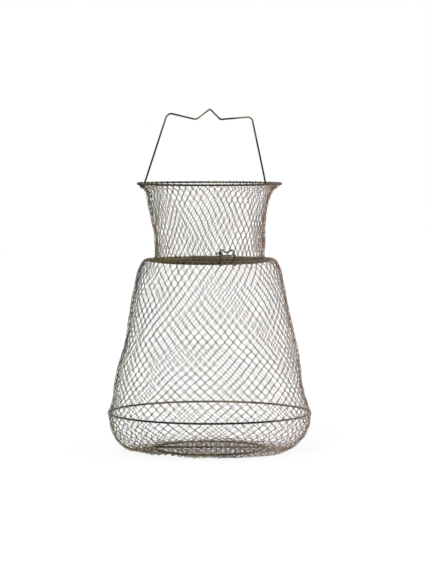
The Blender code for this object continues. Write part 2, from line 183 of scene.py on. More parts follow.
@dataclass
class Surface:
    """A mesh as arrays: its vertices, its faces by number of corners, and its tones."""

    verts: np.ndarray
    faces: list[np.ndarray]
    tones: np.ndarray

    def made(self, name: str, material: Material, slot: Slot) -> bpy.types.Object:
        """Make the object.

        Args:
            name: the piece's name.
            material: its material.
            slot: the record's slot; it is not used.

        Returns:
            The object, at the origin.
        """
        sizes = np.concatenate([np.full(len(face), face.shape[1]) for face in self.faces])
        corners = np.concatenate([face.ravel() for face in self.faces])
        mesh = bpy.data.meshes.new(name)
        mesh.vertices.add(len(self.verts))
        mesh.vertices.foreach_set("co", self.verts.astype(np.float32).ravel())
        mesh.loops.add(len(corners))
        mesh.loops.foreach_set("vertex_index", corners.astype(np.int32))
        mesh.polygons.add(len(sizes))
        starts = np.concatenate([[0], np.cumsum(sizes)[:-1]])
        mesh.polygons.foreach_set("loop_start", starts.astype(np.int32))
        mesh.update(calc_edges=True)
        tone = mesh.attributes.new("tone", "FLOAT", "POINT")
        tone.data.foreach_set("value", self.tones.astype(np.float32))
        mesh.shade_smooth()
        mesh.set_sharp_from_angle(angle=math.radians(75))
        mesh.materials.append(material)
        obj = bpy.data.objects.new(name, mesh)
        bpy.context.scene.collection.objects.link(obj)
        LOG.info("%s: %d faces", name, len(sizes))
        return obj

    def dressed(
        self, name: str, material: Material, slot: Slot, body: Body, *nodes: str) -> None:
        """Make the object, let it ride on a body and take the place of the body's nodes.

        Args:
            name: the piece's name.
            material: its material.
            slot: the record's slot, handed on to made.
            body: the body that it rides on.
            nodes: the nodes that it takes the place of.
        """
        obj = self.made(name, material, slot)
        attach(obj, body.value)
        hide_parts(*nodes)


def swept_wires(
    paths: np.ndarray,
    reference: np.ndarray,
    radius: float,
    sides: int = 12,
    closed: bool = False,
    tones: np.ndarray | None = None,
) -> Surface:
    """Carry a round section along one path or several.

    At each point the section stands square to the path's tangent t. Its first direction u
    is the reference less its share along t, its second is v = t x u, and corner s of the
    section lies radius times (cos(a) u + sin(a) v) off the path, with a = 2 pi s / sides.

    Args:
        paths: the centre lines, as wires x points x 3.
        reference: a direction that no tangent lies along, for all points or for each.
        radius: the wire's radius.
        sides: the number of corners of the section.
        closed: whether each path ends where it starts.
        tones: a tone for each wire, from 0 to 1.

    Returns:
        The wires' surface, with capped ends where the paths are open.
    """
    count, length = paths.shape[:2]
    if closed:
        ahead = np.roll(paths, -1, axis=1) - np.roll(paths, 1, axis=1)
    else:
        ahead = np.gradient(paths, axis=1)
    tangent = unit(ahead)
    given = np.broadcast_to(reference, paths.shape)
    u = unit(given - (given * tangent).sum(-1, keepdims=True) * tangent)
    v = np.cross(tangent, u)
    angle = (np.arange(sides) * math.tau / sides)[None, None, :, None]
    verts = paths[:, :, None, :] + radius * (
        np.cos(angle) * u[:, :, None, :] + np.sin(angle) * v[:, :, None, :])
    index = np.arange(count * length * sides).reshape(count, length, sides)
    here = index if closed else index[:, :-1]
    there = np.roll(index, -1, axis=1) if closed else index[:, 1:]
    quads = np.stack(
        [here, np.roll(here, -1, axis=2), np.roll(there, -1, axis=2), there], axis=-1)
    faces = [quads.reshape(-1, 4)]
    if not closed:
        faces += [index[:, 0, ::-1], index[:, -1, :]]
    if tones is None:
        tones = np.full(count, 0.5)
    return Surface(verts.reshape(-1, 3), faces, np.repeat(tones, length * sides))


def turned(placed: np.ndarray, angle: float) -> np.ndarray:
    """Turn points about the Z axis, anticlockwise from above, by an angle in radians."""
    cosine, sine = math.cos(angle), math.sin(angle)
    return placed @ np.array([[cosine, sine, 0.0], [-sine, cosine, 0.0], [0.0, 0.0, 1.0]])


class Tree:
    """A short hand for a node tree."""

    def __init__(self, tree: bpy.types.NodeTree) -> None:
        """Take up a node tree."""
        self.tree = tree

    def fill(self, node: bpy.types.Node, inputs: dict) -> bpy.types.Node:
        """Set a node's inputs, or link them.

        Args:
            node: the node.
            inputs: a value or a socket for each input, by the input's name or number.

        Returns:
            The node.
        """
        for key, value in inputs.items():
            if isinstance(value, Socket):
                self.tree.links.new(value, node.inputs[key])
            else:
                node.inputs[key].default_value = value
        return node

    def add(self, kind: str, inputs: dict | None = None, **settings: str) -> bpy.types.Node:
        """Add a node.

        Args:
            kind: its type, less the ShaderNode that every type's name starts with.
            inputs: what its inputs take.
            settings: its own settings.

        Returns:
            The node.
        """
        node = self.tree.nodes.new("ShaderNode" + kind)
        for key, value in settings.items():
            setattr(node, key, value)
        return self.fill(node, inputs or {})


class WireNodes(Tree):
    """The nodes of a wire's material."""

    def __init__(self, name: str) -> None:
        """Start a material with its shader.

        Args:
            name: the material's name.
        """
        self.material = bpy.data.materials.new(name)
        self.material.use_nodes = True
        super().__init__(self.material.node_tree)
        self.shader = self.tree.nodes["Principled BSDF"]
        self.place = self.add("TexCoord").outputs["Object"]

    def noise(self, scale: float, detail: float = 3.0) -> Socket:
        """Add a noise in object space, scale features to a metre, in detail octaves."""
        inputs = {"Scale": scale, "Detail": detail, "Vector": self.place}
        return self.add("TexNoise", inputs).outputs["Fac"]

    def ramp(self, value: Socket, places: tuple[float, float], colours: tuple) -> Socket:
        """Turn a value into a colour, from one colour at a first place to another at a last.

        Args:
            value: the value.
            places: the first and the last place.
            colours: the colours there.

        Returns:
            The colour.
        """
        node = self.add("ValToRGB", {"Fac": value})
        for element, place, colour in zip(node.color_ramp.elements, places, colours):
            element.position = place
            element.color = (*colour, 1.0)
        return node.outputs["Color"]

    def spread(self, value: Socket, source: tuple, target: tuple) -> Socket:
        """Bring a value from its source range to a target range."""
        limits = zip(("From Min", "From Max", "To Min", "To Max"), (*source, *target))
        return self.add("MapRange", {"Value": value, **dict(limits)}).outputs["Result"]

    def blended(self, share: Socket, first: Socket | tuple, second: Socket | tuple) -> Socket:
        """Mix two colours by the share of the second."""
        inputs = {"Factor": share, "A": first, "B": second}
        return self.add("Mix", inputs, data_type="RGBA").outputs["Result"]

    def drift(self, way: Drift) -> Socket:
        """Find how far a point is to the right, up, or out from the basket's axis.

        It is X, Z, or the length of (X, Y), over the way's range, as 0 to 1.

        Args:
            way: the way to look at.

        Returns:
            The share.
        """
        factors, low, high = way.value
        inputs = {0: self.place, 1: factors}
        if way is Drift.OUTWARD:
            flat = self.add("VectorMath", inputs, operation="MULTIPLY").outputs["Vector"]
            measured = self.add("VectorMath", {0: flat}, operation="LENGTH")
        else:
            measured = self.add("VectorMath", inputs, operation="DOT_PRODUCT")
        return self.spread(measured.outputs["Value"], (low, high), (0.0, 1.0))

    def leaning(self, value: Socket, share: Socket, lean: float) -> Socket:
        """Add to a value from -lean where a share is 0 to lean where it is 1."""
        added = self.spread(share, (0.0, 1.0), (-lean, lean))
        return self.add("Math", {0: value, 1: added}, operation="ADD").outputs["Value"]


NOISE_RANGE = (0.3, 0.7)
MOTTLE_RANGE = (0.35, 1.0)
PATCH_PLACES = (0.42, 0.66)
GRAIN_PLACES = (0.30, 0.75)
GLINT_AND_STAIN_PLACE = 0.74
GLINT_AND_STAIN_EDGE = 0.12
BLACK_AND_WHITE = ((0.0, 0.0, 0.0), (1.0, 1.0, 1.0))


@dataclass(frozen=True)
class WireFinish:
    """A drawn wire's colours: a dark base over metal, worn in patches, with khaki patches.

    The dark base is painted dark reflection on the rings, the bail and the tab. The khaki patches
    are painted glints there and on the basket's netting, and brown stains on the hinge loops and
    the spring. They take the far colour, and spread by lean, towards the drift's far end.
    """

    name: str
    dark_base: tuple[float, float, float]
    worn: tuple[float, float, float]
    glint_and_stain: tuple[float, float, float]
    far_glint_and_stain: tuple[float, float, float]
    glint_and_stain_share: float
    roughness: tuple[float, float]
    patch: float
    grain: float
    metallic: float
    grain_depth: float
    drift: Drift = Drift.ACROSS
    lean: float = 0.0

    def material(self) -> Material:
        """Make the finish's material.

        Returns:
            The material.
        """
        nodes = WireNodes(self.name)
        # The dark base is painted dark reflection on the rings, the bail and the tab, where the
        # bright metal would show the white room.
        metals = (self.dark_base, self.worn)
        patches = nodes.ramp(nodes.noise(1.0 / self.patch, detail=4.0), PATCH_PLACES, metals)
        grains = nodes.ramp(nodes.noise(1.0 / self.grain, detail=2.0), GRAIN_PLACES, metals)
        tone = nodes.add("Attribute", attribute_name="tone").outputs["Fac"]
        metal = nodes.blended(tone, patches, grains)
        # Painted glints: khaki patches, more of them and paler towards the drift's far end, stand
        # in for the lamps' highlights; on the hinge loops and the spring they are brown stains.
        far = nodes.drift(self.drift)
        low = GLINT_AND_STAIN_PLACE - self.glint_and_stain_share
        glint_and_stain_patches = nodes.ramp(
            nodes.leaning(nodes.noise(0.37 / self.patch, detail=5.0), far, self.lean),
            (low, low + GLINT_AND_STAIN_EDGE), BLACK_AND_WHITE)
        glint_and_stain = nodes.blended(far, (*self.glint_and_stain, 1.0), (*self.far_glint_and_stain, 1.0))
        mottles = nodes.spread(
            nodes.noise(2.0 / self.patch, detail=2.0), NOISE_RANGE, MOTTLE_RANGE)
        mottled = nodes.blended(mottles, (*self.worn, 1.0), glint_and_stain)
        dull = nodes.spread(nodes.noise(1.3 / self.grain), NOISE_RANGE, self.roughness)
        bump = nodes.add("Bump", {
            "Strength": 0.5, "Distance": self.grain_depth,
            "Height": nodes.noise(1.0 / self.grain, detail=4.0)})
        nodes.fill(nodes.shader, {
            "Base Color": nodes.blended(glint_and_stain_patches, metal, mottled), "Roughness": dull,
            "Metallic": self.metallic, "Normal": bump.outputs["Normal"]})
        return nodes.material


# Rings: near-black base painted as dark reflection, and khaki painted glints, paler and more of
# them towards the right.
PAINTED_DARK_RING_WIRE = WireFinish(
    name="painted_dark_ring_wire",
    dark_base=(0.006, 0.006, 0.006), worn=(0.026, 0.025, 0.022), glint_and_stain=(0.11, 0.095, 0.058),
    far_glint_and_stain=(0.24, 0.21, 0.13), glint_and_stain_share=0.22, lean=0.10,
    roughness=(0.28, 0.46), patch=0.040, grain=0.0016, metallic=0.85, grain_depth=0.00006)
# Neck ring: dark base painted as dark reflection, with wide khaki painted glints, paler towards
# the right.
OLIVE_RING_WIRE = WireFinish(
    name="glint_painted_ring_wire",
    dark_base=(0.016, 0.015, 0.010), worn=(0.050, 0.045, 0.028), glint_and_stain=(0.13, 0.115, 0.060),
    far_glint_and_stain=(0.21, 0.18, 0.10), glint_and_stain_share=0.36, lean=0.06,
    roughness=(0.34, 0.52), patch=0.022, grain=0.0016, metallic=0.8, grain_depth=0.00006)
# Tab: near-black base painted as dark reflection, with a few khaki painted glints.
PAINTED_DARK_TAB_WIRE = WireFinish(
    name="painted_dark_tab_wire",
    dark_base=(0.005, 0.005, 0.005), worn=(0.018, 0.017, 0.015), glint_and_stain=(0.07, 0.062, 0.040),
    far_glint_and_stain=(0.08, 0.070, 0.045), glint_and_stain_share=0.10,
    roughness=(0.30, 0.48), patch=0.010, grain=0.0012, metallic=0.85, grain_depth=0.00005)
# Bail: near-black base painted as dark reflection, and khaki painted glints, paler and more of
# them towards the top, as lit from above.
PLATED_BAIL_WIRE = WireFinish(
    name="plated_bail_wire",
    dark_base=(0.009, 0.009, 0.008), worn=(0.042, 0.042, 0.034), glint_and_stain=(0.13, 0.12, 0.075),
    far_glint_and_stain=(0.27, 0.25, 0.155), drift=Drift.UPWARD, glint_and_stain_share=0.25, lean=0.09,
    roughness=(0.24, 0.42), patch=0.030, grain=0.0016, metallic=0.9, grain_depth=0.00006)
HINGE_WIRE = WireFinish(
    name="plated_hinge_wire",
    dark_base=(0.05, 0.046, 0.036), worn=(0.16, 0.145, 0.11), glint_and_stain=(0.14, 0.08, 0.04),
    far_glint_and_stain=(0.14, 0.08, 0.04), glint_and_stain_share=0.2,
    roughness=(0.30, 0.50), patch=0.008, grain=0.0010, metallic=0.9, grain_depth=0.00004)
SPRING_WIRE = WireFinish(
    name="spring_steel_wire",
    dark_base=(0.10, 0.10, 0.10), worn=(0.30, 0.29, 0.27), glint_and_stain=(0.20, 0.13, 0.07),
    far_glint_and_stain=(0.20, 0.13, 0.07), glint_and_stain_share=0.14,
    roughness=(0.22, 0.38), patch=0.008, grain=0.0009, metallic=1.0, grain_depth=0.00003)
# Netting: olive patches at the left and pinkish ones at the right are painted reflection, tints
# by side.
NETTING_WIRE = WireFinish(
    name="dull_netting_wire",
    dark_base=(0.020, 0.017, 0.012), worn=(0.082, 0.067, 0.042), glint_and_stain=(0.175, 0.133, 0.028),
    far_glint_and_stain=(0.35, 0.215, 0.165), glint_and_stain_share=0.40, lean=0.06,
    roughness=(0.36, 0.58), patch=0.040, grain=0.0012, metallic=0.75, grain_depth=0.00004)
LID_NETTING_WIRE = WireFinish(
    name="browned_netting_wire",
    dark_base=(0.034, 0.022, 0.014), worn=(0.11, 0.072, 0.044), glint_and_stain=(0.13, 0.072, 0.045),
    far_glint_and_stain=(0.20, 0.165, 0.080), drift=Drift.OUTWARD, glint_and_stain_share=0.34, lean=0.05,
    roughness=(0.40, 0.62), patch=0.022, grain=0.0012, metallic=0.7, grain_depth=0.00004)
BASE_NETTING_WIRE = replace(
    LID_NETTING_WIRE, name="faded_netting_wire", dark_base=(0.070, 0.050, 0.042),
    worn=(0.22, 0.17, 0.14), glint_and_stain=(0.20, 0.115, 0.085), far_glint_and_stain=(0.30, 0.24, 0.15))


@dataclass
class Hoop:
    """A welded wire ring."""

    name: str
    body: Body
    radius: float
    wire: float
    height: float
    steps: int = 160

    def build(self, material: Material) -> None:
        """Make the ring.

        Args:
            material: its material.
        """
        a = np.arange(self.steps) * math.tau / self.steps
        path = circle(self.radius, a, self.height)
        swept_wires(path[None], UP, self.wire / 2, 12, True).dressed(
            self.name + "_hoop", material, Slot.RING, self.body, self.name)


TOP_RING = Hoop("top_ring", Body.TOP, 0.1170, 0.0030, 0.4380)
NECK_RING = Hoop("neck_ring", Body.NECK, 0.0900, 0.0030, 0.3130)
BELLY_RING = Hoop("belly_ring", Body.BASKET, 0.1650, 0.0032, 0.0610)
BASE_RING = Hoop("base_ring", Body.BASKET, 0.0887, 0.0030, 0.0015)


@dataclass
class Weave:
    """How the zigzag wires of a net are hooked through each other."""

    wire: float = 0.00086
    side: float = 0.0111
    sharpness: float = 0.994
    hook: float = 0.00055
    clearance: float = 0.00078
    ring_clearance: float = 0.00005
    turnover: float = 0.08

    def across(self, x: np.ndarray, overlap: np.ndarray | float) -> np.ndarray:
        """Where a wire is across its strip, from one column (0) to the next (1).

        The zigzag is 1/2 - asin(m cos(pi x)) / (2 asin m), which is straight between its
        bends and rounded at them, stretched by the overlap past both columns.

        Args:
            x: half rows from a bend on the first column.
            overlap: the part of a column that each bend reaches past it.

        Returns:
            The place across the strip.
        """
        m = self.sharpness
        zigzag = 0.5 - 0.5 * np.arcsin(m * np.cos(np.pi * x)) / math.asin(m)
        return 0.5 + (zigzag - 0.5) * (1 + 2 * overlap)

    def lift(self, x: np.ndarray) -> np.ndarray:
        """The side of the net, -1 in to 1 out: -s / sqrt(s^2 + turnover^2), s = sin(pi x)."""
        s = np.sin(np.pi * x)
        return -s / np.hypot(s, self.turnover)


@dataclass
class NetWalls:
    """The netting from the top ring to the base ring, as wires down one outline."""

    weave: Weave
    cells: int = 60
    rows_to_neck: float = 13.5
    rows_to_belly: float = 45.5
    rows_to_base: float = 60.0
    split_row: float = 29.5
    turn: float = math.radians(3.0)
    end_gap: float = 0.33
    throat: tuple = (
        (117.0, 438.0), (111.2, 433.4), (105.9, 429.4), (102.6, 423.6), (100.4, 416.5),
        (98.9, 410.0), (96.7, 397.6), (94.0, 384.5), (91.7, 371.3), (90.2, 358.2),
        (89.0, 345.0), (88.2, 334.0), (88.2, 324.0), (88.8, 317.5))
    body: tuple = (
        (90.0, 313.0), (94.0, 312.3), (99.0, 313.2), (104.2, 312.6), (108.0, 309.8),
        (111.0, 305.4), (113.8, 299.0), (115.9, 292.5), (118.9, 279.3), (122.1, 266.2),
        (126.2, 246.5), (132.8, 213.6), (139.9, 180.8), (147.2, 148.0), (153.3, 115.1),
        (158.4, 84.0), (162.2, 70.0))
    belly: tuple = ((165.0, 61.0),)
    bowl_top: tuple = (164.9, 59.6)
    bowl_flat: float = 119.0
    bowl_depth: float = 58.6
    bowl_power: float = 1.9
    floor: tuple = ((108.0, 0.95), (96.0, 1.0), (88.7, 1.5))
    samples: tuple = (0.0, 0.05, 0.12, 0.5, 0.88, 0.95)
    ring_samples: tuple = (0.0, 0.05, 0.12, 0.24, 0.36, 0.5, 0.64, 0.76, 0.88, 0.95)
    jitter: float = 0.00055
    wander: float = 0.0015
    wander_turns: tuple = (2, 3, 5, 7, 11)
    wander_pitch: tuple = (8.0, 60.0)
    stray_shares: tuple = (1.0, 0.8, 1.1)
    calm_reach: float = 0.014
    ring_reach: float = 0.0035
    aside: float = 0.0034
    aside_start: float = 0.0015
    aside_reach: tuple = (0.009, 0.010)
    dent: float = 0.0044
    dent_start: float = 0.0018
    dent_reach: tuple = (0.014, 0.015)
    dent_back: float = 0.005
    seed: int = 11

    def __post_init__(self) -> None:
        """Work out the outline and how its rows lie on it.

        The bowl is a quarter of the curve ((r - f) / (t - f))^p + ((h - z) / d)^p = 1, p
        being bowl_power, from its top (t, h) at the belly ring in to the flat f, d lower. A
        half row is sqrt(side^2 - (pi r / cells)^2) long, so that every strand keeps its
        length, scaled a little between two rings so that the rings fall on their rows.
        """
        beta = np.radians(np.linspace(10.0, 90.0, 9))
        power = 2.0 / self.bowl_power
        top, high = self.bowl_top
        bowl = np.stack([
            self.bowl_flat + (top - self.bowl_flat) * np.cos(beta).clip(0.0) ** power,
            high - self.bowl_depth * np.sin(beta) ** power], axis=1)
        knots = MM * np.concatenate([self.throat, self.body, self.belly, bowl, self.floor])
        per_run = 24
        curve = smooth_curve(knots, per_run)
        step = np.diff(curve, axis=0)
        self.length = np.concatenate([[0.0], np.cumsum(np.hypot(step[:, 0], step[:, 1]))])
        self.radius, self.height = curve[:, 0], curve[:, 1]
        along = unit(np.gradient(curve, self.length, axis=0))
        self.down = along
        self.out = np.stack([-along[:, 1], along[:, 0]], axis=1)
        neck = len(self.throat) * per_run
        belly = neck + len(self.body) * per_run
        self.stations = self.length[[0, neck, belly, len(curve) - 1]]
        half_row = np.sqrt(self.weave.side ** 2 - (np.pi * self.radius / self.cells) ** 2)
        rate = 1.0 / half_row
        steps = np.diff(self.length) * (rate[1:] + rate[:-1]) / 2
        raw = np.concatenate([[0.0], np.cumsum(steps)])
        wanted = (0.0, self.rows_to_neck, self.rows_to_belly, self.rows_to_base)
        marks = raw[[0, neck, belly, len(curve) - 1]]
        self.rows = np.interp(raw, marks, wanted)

    def at(self, row: np.ndarray) -> dict[str, np.ndarray]:
        """The outline at given rows.

        Args:
            row: the rows.

        Returns:
            Its length, radius, height, downward and outward directions there.
        """
        length = np.interp(row, self.rows, self.length)
        found = {"length": length}
        for key in ("radius", "height"):
            found[key] = np.interp(length, self.length, getattr(self, key))
        for key in ("down", "out"):
            values = getattr(self, key)
            found[key] = unit(np.stack(
                [np.interp(length, self.length, values[:, axis]) for axis in (0, 1)], axis=-1))
        return found

    def sample_rows(self, first: float, last: float) -> np.ndarray:
        """The rows at which a stretch of the wires is sampled, closer at the rings.

        Args:
            first: the stretch's first row.
            last: its last row.

        Returns:
            The rows in order.
        """
        whole = np.arange(math.floor(first), math.ceil(last))
        rows = (whole[:, None] + np.array(self.samples)).ravel()
        ring_rows = np.floor(np.array([self.rows_to_neck, self.rows_to_belly]))
        rows = np.concatenate([rows, (ring_rows[:, None] + np.array(self.ring_samples)).ravel()])
        rows = np.unique(np.round(np.concatenate([rows, [first, last]]), 6))
        return rows[(rows >= first) & (rows <= last)]

    def strayed(self, wires: np.ndarray, rows: np.ndarray, length: np.ndarray) -> np.ndarray:
        """How far the wires stray from an even weave.

        Each crossing is off its place by its own random step, shared by both wires and
        carried evenly along the strands. To this comes a slow drift, a sum of
        sin(m c + k l + phase) round the basket and down it. Both die away at the rings.

        Args:
            wires: the wires' numbers, as a column.
            rows: the sampled rows.
            length: the outline's length there.

        Returns:
            The stray round the basket, down it and out of it, in metres.
        """
        rng = np.random.default_rng(self.seed)
        count = 2 * self.cells
        steps = rng.normal(0.0, self.jitter, (int(self.rows_to_base) + 2, count, 3))
        above = np.floor(rows).astype(int)
        share = (rows - above)[None, :, None]
        upper = (wires + (above - wires) % 2) % count
        lower = (wires + (above + 1 - wires) % 2) % count
        stray = steps[above, upper] * (1 - share) + steps[above + 1, lower] * share
        around = wires * math.tau / count
        for turns in self.wander_turns:
            size = self.wander / math.sqrt(turns)
            pitch, phase = rng.uniform(*self.wander_pitch, 3), rng.uniform(0.0, math.tau, 3)
            wave = turns * around[..., None] + pitch * length[None, :, None] + phase
            stray = stray + size * np.sin(wave)
        off = length[:, None] - self.stations[None, :]
        calm = np.prod(1 - fading(off, self.calm_reach), axis=1)
        return stray * calm[None, :, None] * np.array(self.stray_shares)

    def made_room(self, angle: np.ndarray, down: np.ndarray) -> tuple[np.ndarray, np.ndarray]:
        """How far the wires make room for the bail's two feet and its legs' swing.

        A foot goes through the opening between two hooks, and its leg swings across the
        netting behind it. Wires go aside from the opening's middle line, but not on it, and
        outwards a little behind it, but not on the ring. Both fade round the ring and down.

        Args:
            angle: the places round the basket.
            down: the places' length down the outline.

        Returns:
            The way aside and the way out.
        """
        middle = self.turn + math.pi / self.cells
        back = TOP_RING.radius * (np.sin(angle) - math.sin(middle))
        aside = self.aside * np.sign(back * np.cos(angle)) * (1 - fading(back, self.aside_start))
        aside = aside * fading(back, self.aside_reach[0]) * fading(down, self.aside_reach[1])
        dent = self.dent * (1 - fading(down, self.dent_start))
        dent = dent * fading(back - self.dent_back, self.dent_reach[0])
        return aside, dent * fading(down, self.dent_reach[1])

    def strands(self, first: float, last: float) -> np.ndarray:
        """The wires' centre lines between two rows.

        Wire k keeps to the strip between columns k and k + 1. At row q it is at column
        k + across(q - k), and off the outline by lift(q - k) times a depth that is just
        over the wire's radius, and grows by the ring's at a ring.

        Args:
            first: the row that the stretch starts at.
            last: the row that it ends at.

        Returns:
            The centre lines, as wires x points x 3.
        """
        rows = self.sample_rows(first, last)
        place = self.at(rows)
        wires = np.arange(2 * self.cells)[:, None]
        x = rows[None, :] - wires
        half_cell = np.pi * place["radius"] / self.cells
        column = wires + self.weave.across(x, self.weave.hook / half_cell[None, :])
        depth = self.weave.wire / 2 + self.weave.clearance
        rings = ((self.stations[1], NECK_RING), (self.stations[2], BELLY_RING))
        for station, ring in rings:
            near = fading(place["length"] - station, self.ring_reach)
            depth = depth + (ring.wire / 2 + self.weave.ring_clearance) * near
        stray = self.strayed(wires, rows, place["length"])
        angle = self.turn + column * math.pi / self.cells
        aside, dent = self.made_room(angle, place["length"][None, :])
        off = self.weave.lift(x) * depth + stray[..., 2] + dent
        radius = place["radius"] + off * place["out"][:, 0] + stray[..., 1] * place["down"][:, 0]
        height = place["height"] + off * place["out"][:, 1] + stray[..., 1] * place["down"][:, 1]
        height = np.maximum(height, self.weave.wire / 2 + FLOOR_GAP)
        angle = angle + (stray[..., 0] + aside) / place["radius"]
        return circle(radius, angle, height)

    def hooks(self, row: float, ring: Hoop, angles: np.ndarray, away: float) -> np.ndarray:
        """The wires' ends, bent round a ring.

        A hook is the arc ring centre + rho (cos(a) e + sin(a) n), with e pointing past the
        ring, n out of the netting, and rho the two wires' radii together. The two wires of
        a crossing lie side by side.

        Args:
            row: the row of the ends.
            ring: the ring.
            angles: the arc's angles in the order of the path.
            away: 1 where the netting ends at its top, -1 at its bottom.

        Returns:
            The hooks' centre lines, as wires x points x 3.
        """
        place = self.at(np.array([row]))
        past = -away * place["down"][0]
        out = place["out"][0]
        rho = ring.wire / 2 + self.weave.wire / 2 + self.weave.ring_clearance
        arc = rho * (np.cos(angles)[:, None] * past + np.sin(angles)[:, None] * out)
        wires = np.arange(2 * self.cells)[:, None]
        odd = (int(row) - wires) % 2
        apart = np.where(odd == 1, -1.0, 1.0) * self.weave.hook / ring.radius
        angle = self.turn + (wires + odd) * math.pi / self.cells + apart
        angle = angle + self.made_room(angle, place["length"])[0] / ring.radius
        return circle(ring.radius + arc[None, :, 0], angle, ring.height + arc[None, :, 1])

    def surface(self, paths: np.ndarray) -> Surface:
        """Give the wires their thickness, with the direction round the basket as reference.

        Args:
            paths: the wires' centre lines, as wires x points x 3.

        Returns:
            Their surface, each wire with its own tone.
        """
        around = np.arctan2(paths[..., 1], paths[..., 0])
        reference = points(-np.sin(around), np.cos(around), 0.0)
        tones = np.random.default_rng(self.seed + 1).uniform(0.0, 1.0, len(paths))
        return swept_wires(paths, reference, self.weave.wire / 2, 6, False, tones)

    def build(self, material: Material) -> None:
        """Make the four stretches of netting, the bowl's riding on the basket.

        Args:
            material: the netting's material.
        """
        over = np.radians(np.linspace(110.0, -125.0, 9))
        top = np.concatenate([
            self.hooks(0.0, TOP_RING, over, 1.0),
            self.strands(self.end_gap, self.rows_to_neck)], axis=1)
        throat = self.surface(top).made("throat_netting", material, Slot.NETTING)
        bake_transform(throat)
        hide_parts("upper_throat_net", "lower_throat_net")
        upper = self.surface(self.strands(self.rows_to_neck, self.split_row)).made(
            "upper_body_netting", material, Slot.NETTING)
        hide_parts("shoulder_net", "upper_body_net")
        lower = self.surface(self.strands(self.split_row, self.rows_to_belly)).made(
            "lower_body_netting", material, Slot.NETTING)
        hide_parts("lower_body_net")
        for stretch in (upper, lower):
            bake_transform(stretch)
        under = np.radians(np.linspace(-125.0, 30.0, 7))
        base = np.concatenate([
            self.strands(self.rows_to_belly, self.rows_to_base - self.end_gap),
            self.hooks(self.rows_to_base, BASE_RING, under, -1.0)], axis=1)
        self.surface(base).dressed(
            "bowl_netting", material, Slot.NETTING, Body.BASKET, "bowl_side_net",
            "bowl_floor_net")


@dataclass
class FlatNet:
    """A net stretched flat across a round frame, its wires running from side to side."""

    name: str
    node: str
    body: Body
    radius: float
    frame_wire: float
    height: float
    weave: Weave
    turn: float = 0.0
    bar: float = math.inf
    bar_gap: float = 0.0
    strip: float = 0.00785
    reach: float = 0.94
    notch: float = 0.0095
    steepest: float = 2.4
    stand_off: float = 1.4
    calm_reach: float = 0.01
    wander: tuple = (0.0006, 0.0003)
    wander_pitch: tuple = (25.0, 70.0)
    samples: int = 210
    seed: int = 5

    def edge(self, x: np.ndarray) -> np.ndarray:
        """How far the frame's centre line is from the middle at x, on its far side."""
        return np.sqrt(self.radius ** 2 - x ** 2)

    def across(self, wires: np.ndarray, rows: np.ndarray) -> np.ndarray:
        """The wires' X at given rows, each wire k keeping to its own strip."""
        overlap = self.weave.hook / self.strip
        return (wires + 0.5 + self.weave.across(rows - wires, overlap)) * self.strip

    def ends(self, wires: np.ndarray, side: float) -> tuple[np.ndarray, np.ndarray]:
        """Where the wires cross the frame.

        Args:
            wires: the wires' numbers, as a column.
            side: -1 at the front, 1 at the back, where a bar may cut the frame short.

        Returns:
            Their X, and their Y as it is from the middle outwards.
        """
        x = self.across(wires, side * self.edge((wires + 1.0) * self.strip) / self.strip)
        y = self.edge(x)
        if side > 0.0:
            y = np.minimum(y, self.bar)
            held = np.abs(x) > self.notch
            y = np.where(held | (y < self.bar), y, self.bar - self.bar_gap)
        return x, y

    def build(self, material: Material) -> None:
        """Make the net.

        Its wires run along Y. Their ends go over the frame's wire in an upright arc and
        under it, longer where the frame is crossed aslant. Between them the wires wander by
        a sum of sin(p y + q k + phase).

        Args:
            material: its material.
        """
        count = int(self.reach * self.radius / self.strip - 0.5)
        wires = np.arange(-count - 1, count + 1)[:, None]
        depth = self.frame_wire / 2 + self.weave.wire / 2 + self.weave.ring_clearance
        arc = np.radians(np.linspace(150.0, -60.0, 8))[None, :]
        near, hooks = [], []
        for side in (-1.0, 1.0):
            x, y = self.ends(wires, side)
            slant = np.minimum(self.radius / np.maximum(y, 1e-6), self.steepest)
            near.append(y - self.stand_off * depth * slant)
            hooks.append(points(
                x, side * (y + depth * slant * np.cos(arc)), self.height + depth * np.sin(arc)))
        t = np.linspace(0.0, 1.0, self.samples)[None, :]
        y = -near[0] + (near[0] + near[1]) * t
        rows = y / self.strip
        off = self.weave.lift(rows - wires) * (self.weave.wire / 2 + self.weave.clearance)
        rng = np.random.default_rng(self.seed)
        pitch, phase = rng.uniform(*self.wander_pitch, 4), rng.uniform(0.0, math.tau, 4)
        middle = (wires + 1.0) * self.strip
        drift = np.sin(y[..., None] * pitch + middle[..., None] * pitch[::-1] + phase)
        calm = np.clip(np.minimum(y + near[0], near[1] - y) / self.calm_reach, 0.0, 1.0)
        x = self.across(wires, rows) + self.wander[0] * calm * drift[..., :2].sum(-1)
        off = off + self.wander[1] * calm * drift[..., 2:].sum(-1)
        strands = points(x, y, self.height + off)
        paths = np.concatenate([hooks[0][:, ::-1], strands, hooks[1]], axis=1)
        paths[..., 2] = np.maximum(paths[..., 2], self.weave.wire / 2 + FLOOR_GAP)
        swept_wires(
            turned(paths, self.turn), turned(RIGHT, self.turn), self.weave.wire / 2, 6, False,
            rng.uniform(0.0, 1.0, len(paths)),
        ).dressed(self.name, material, Slot.FLAT, self.body, self.node)


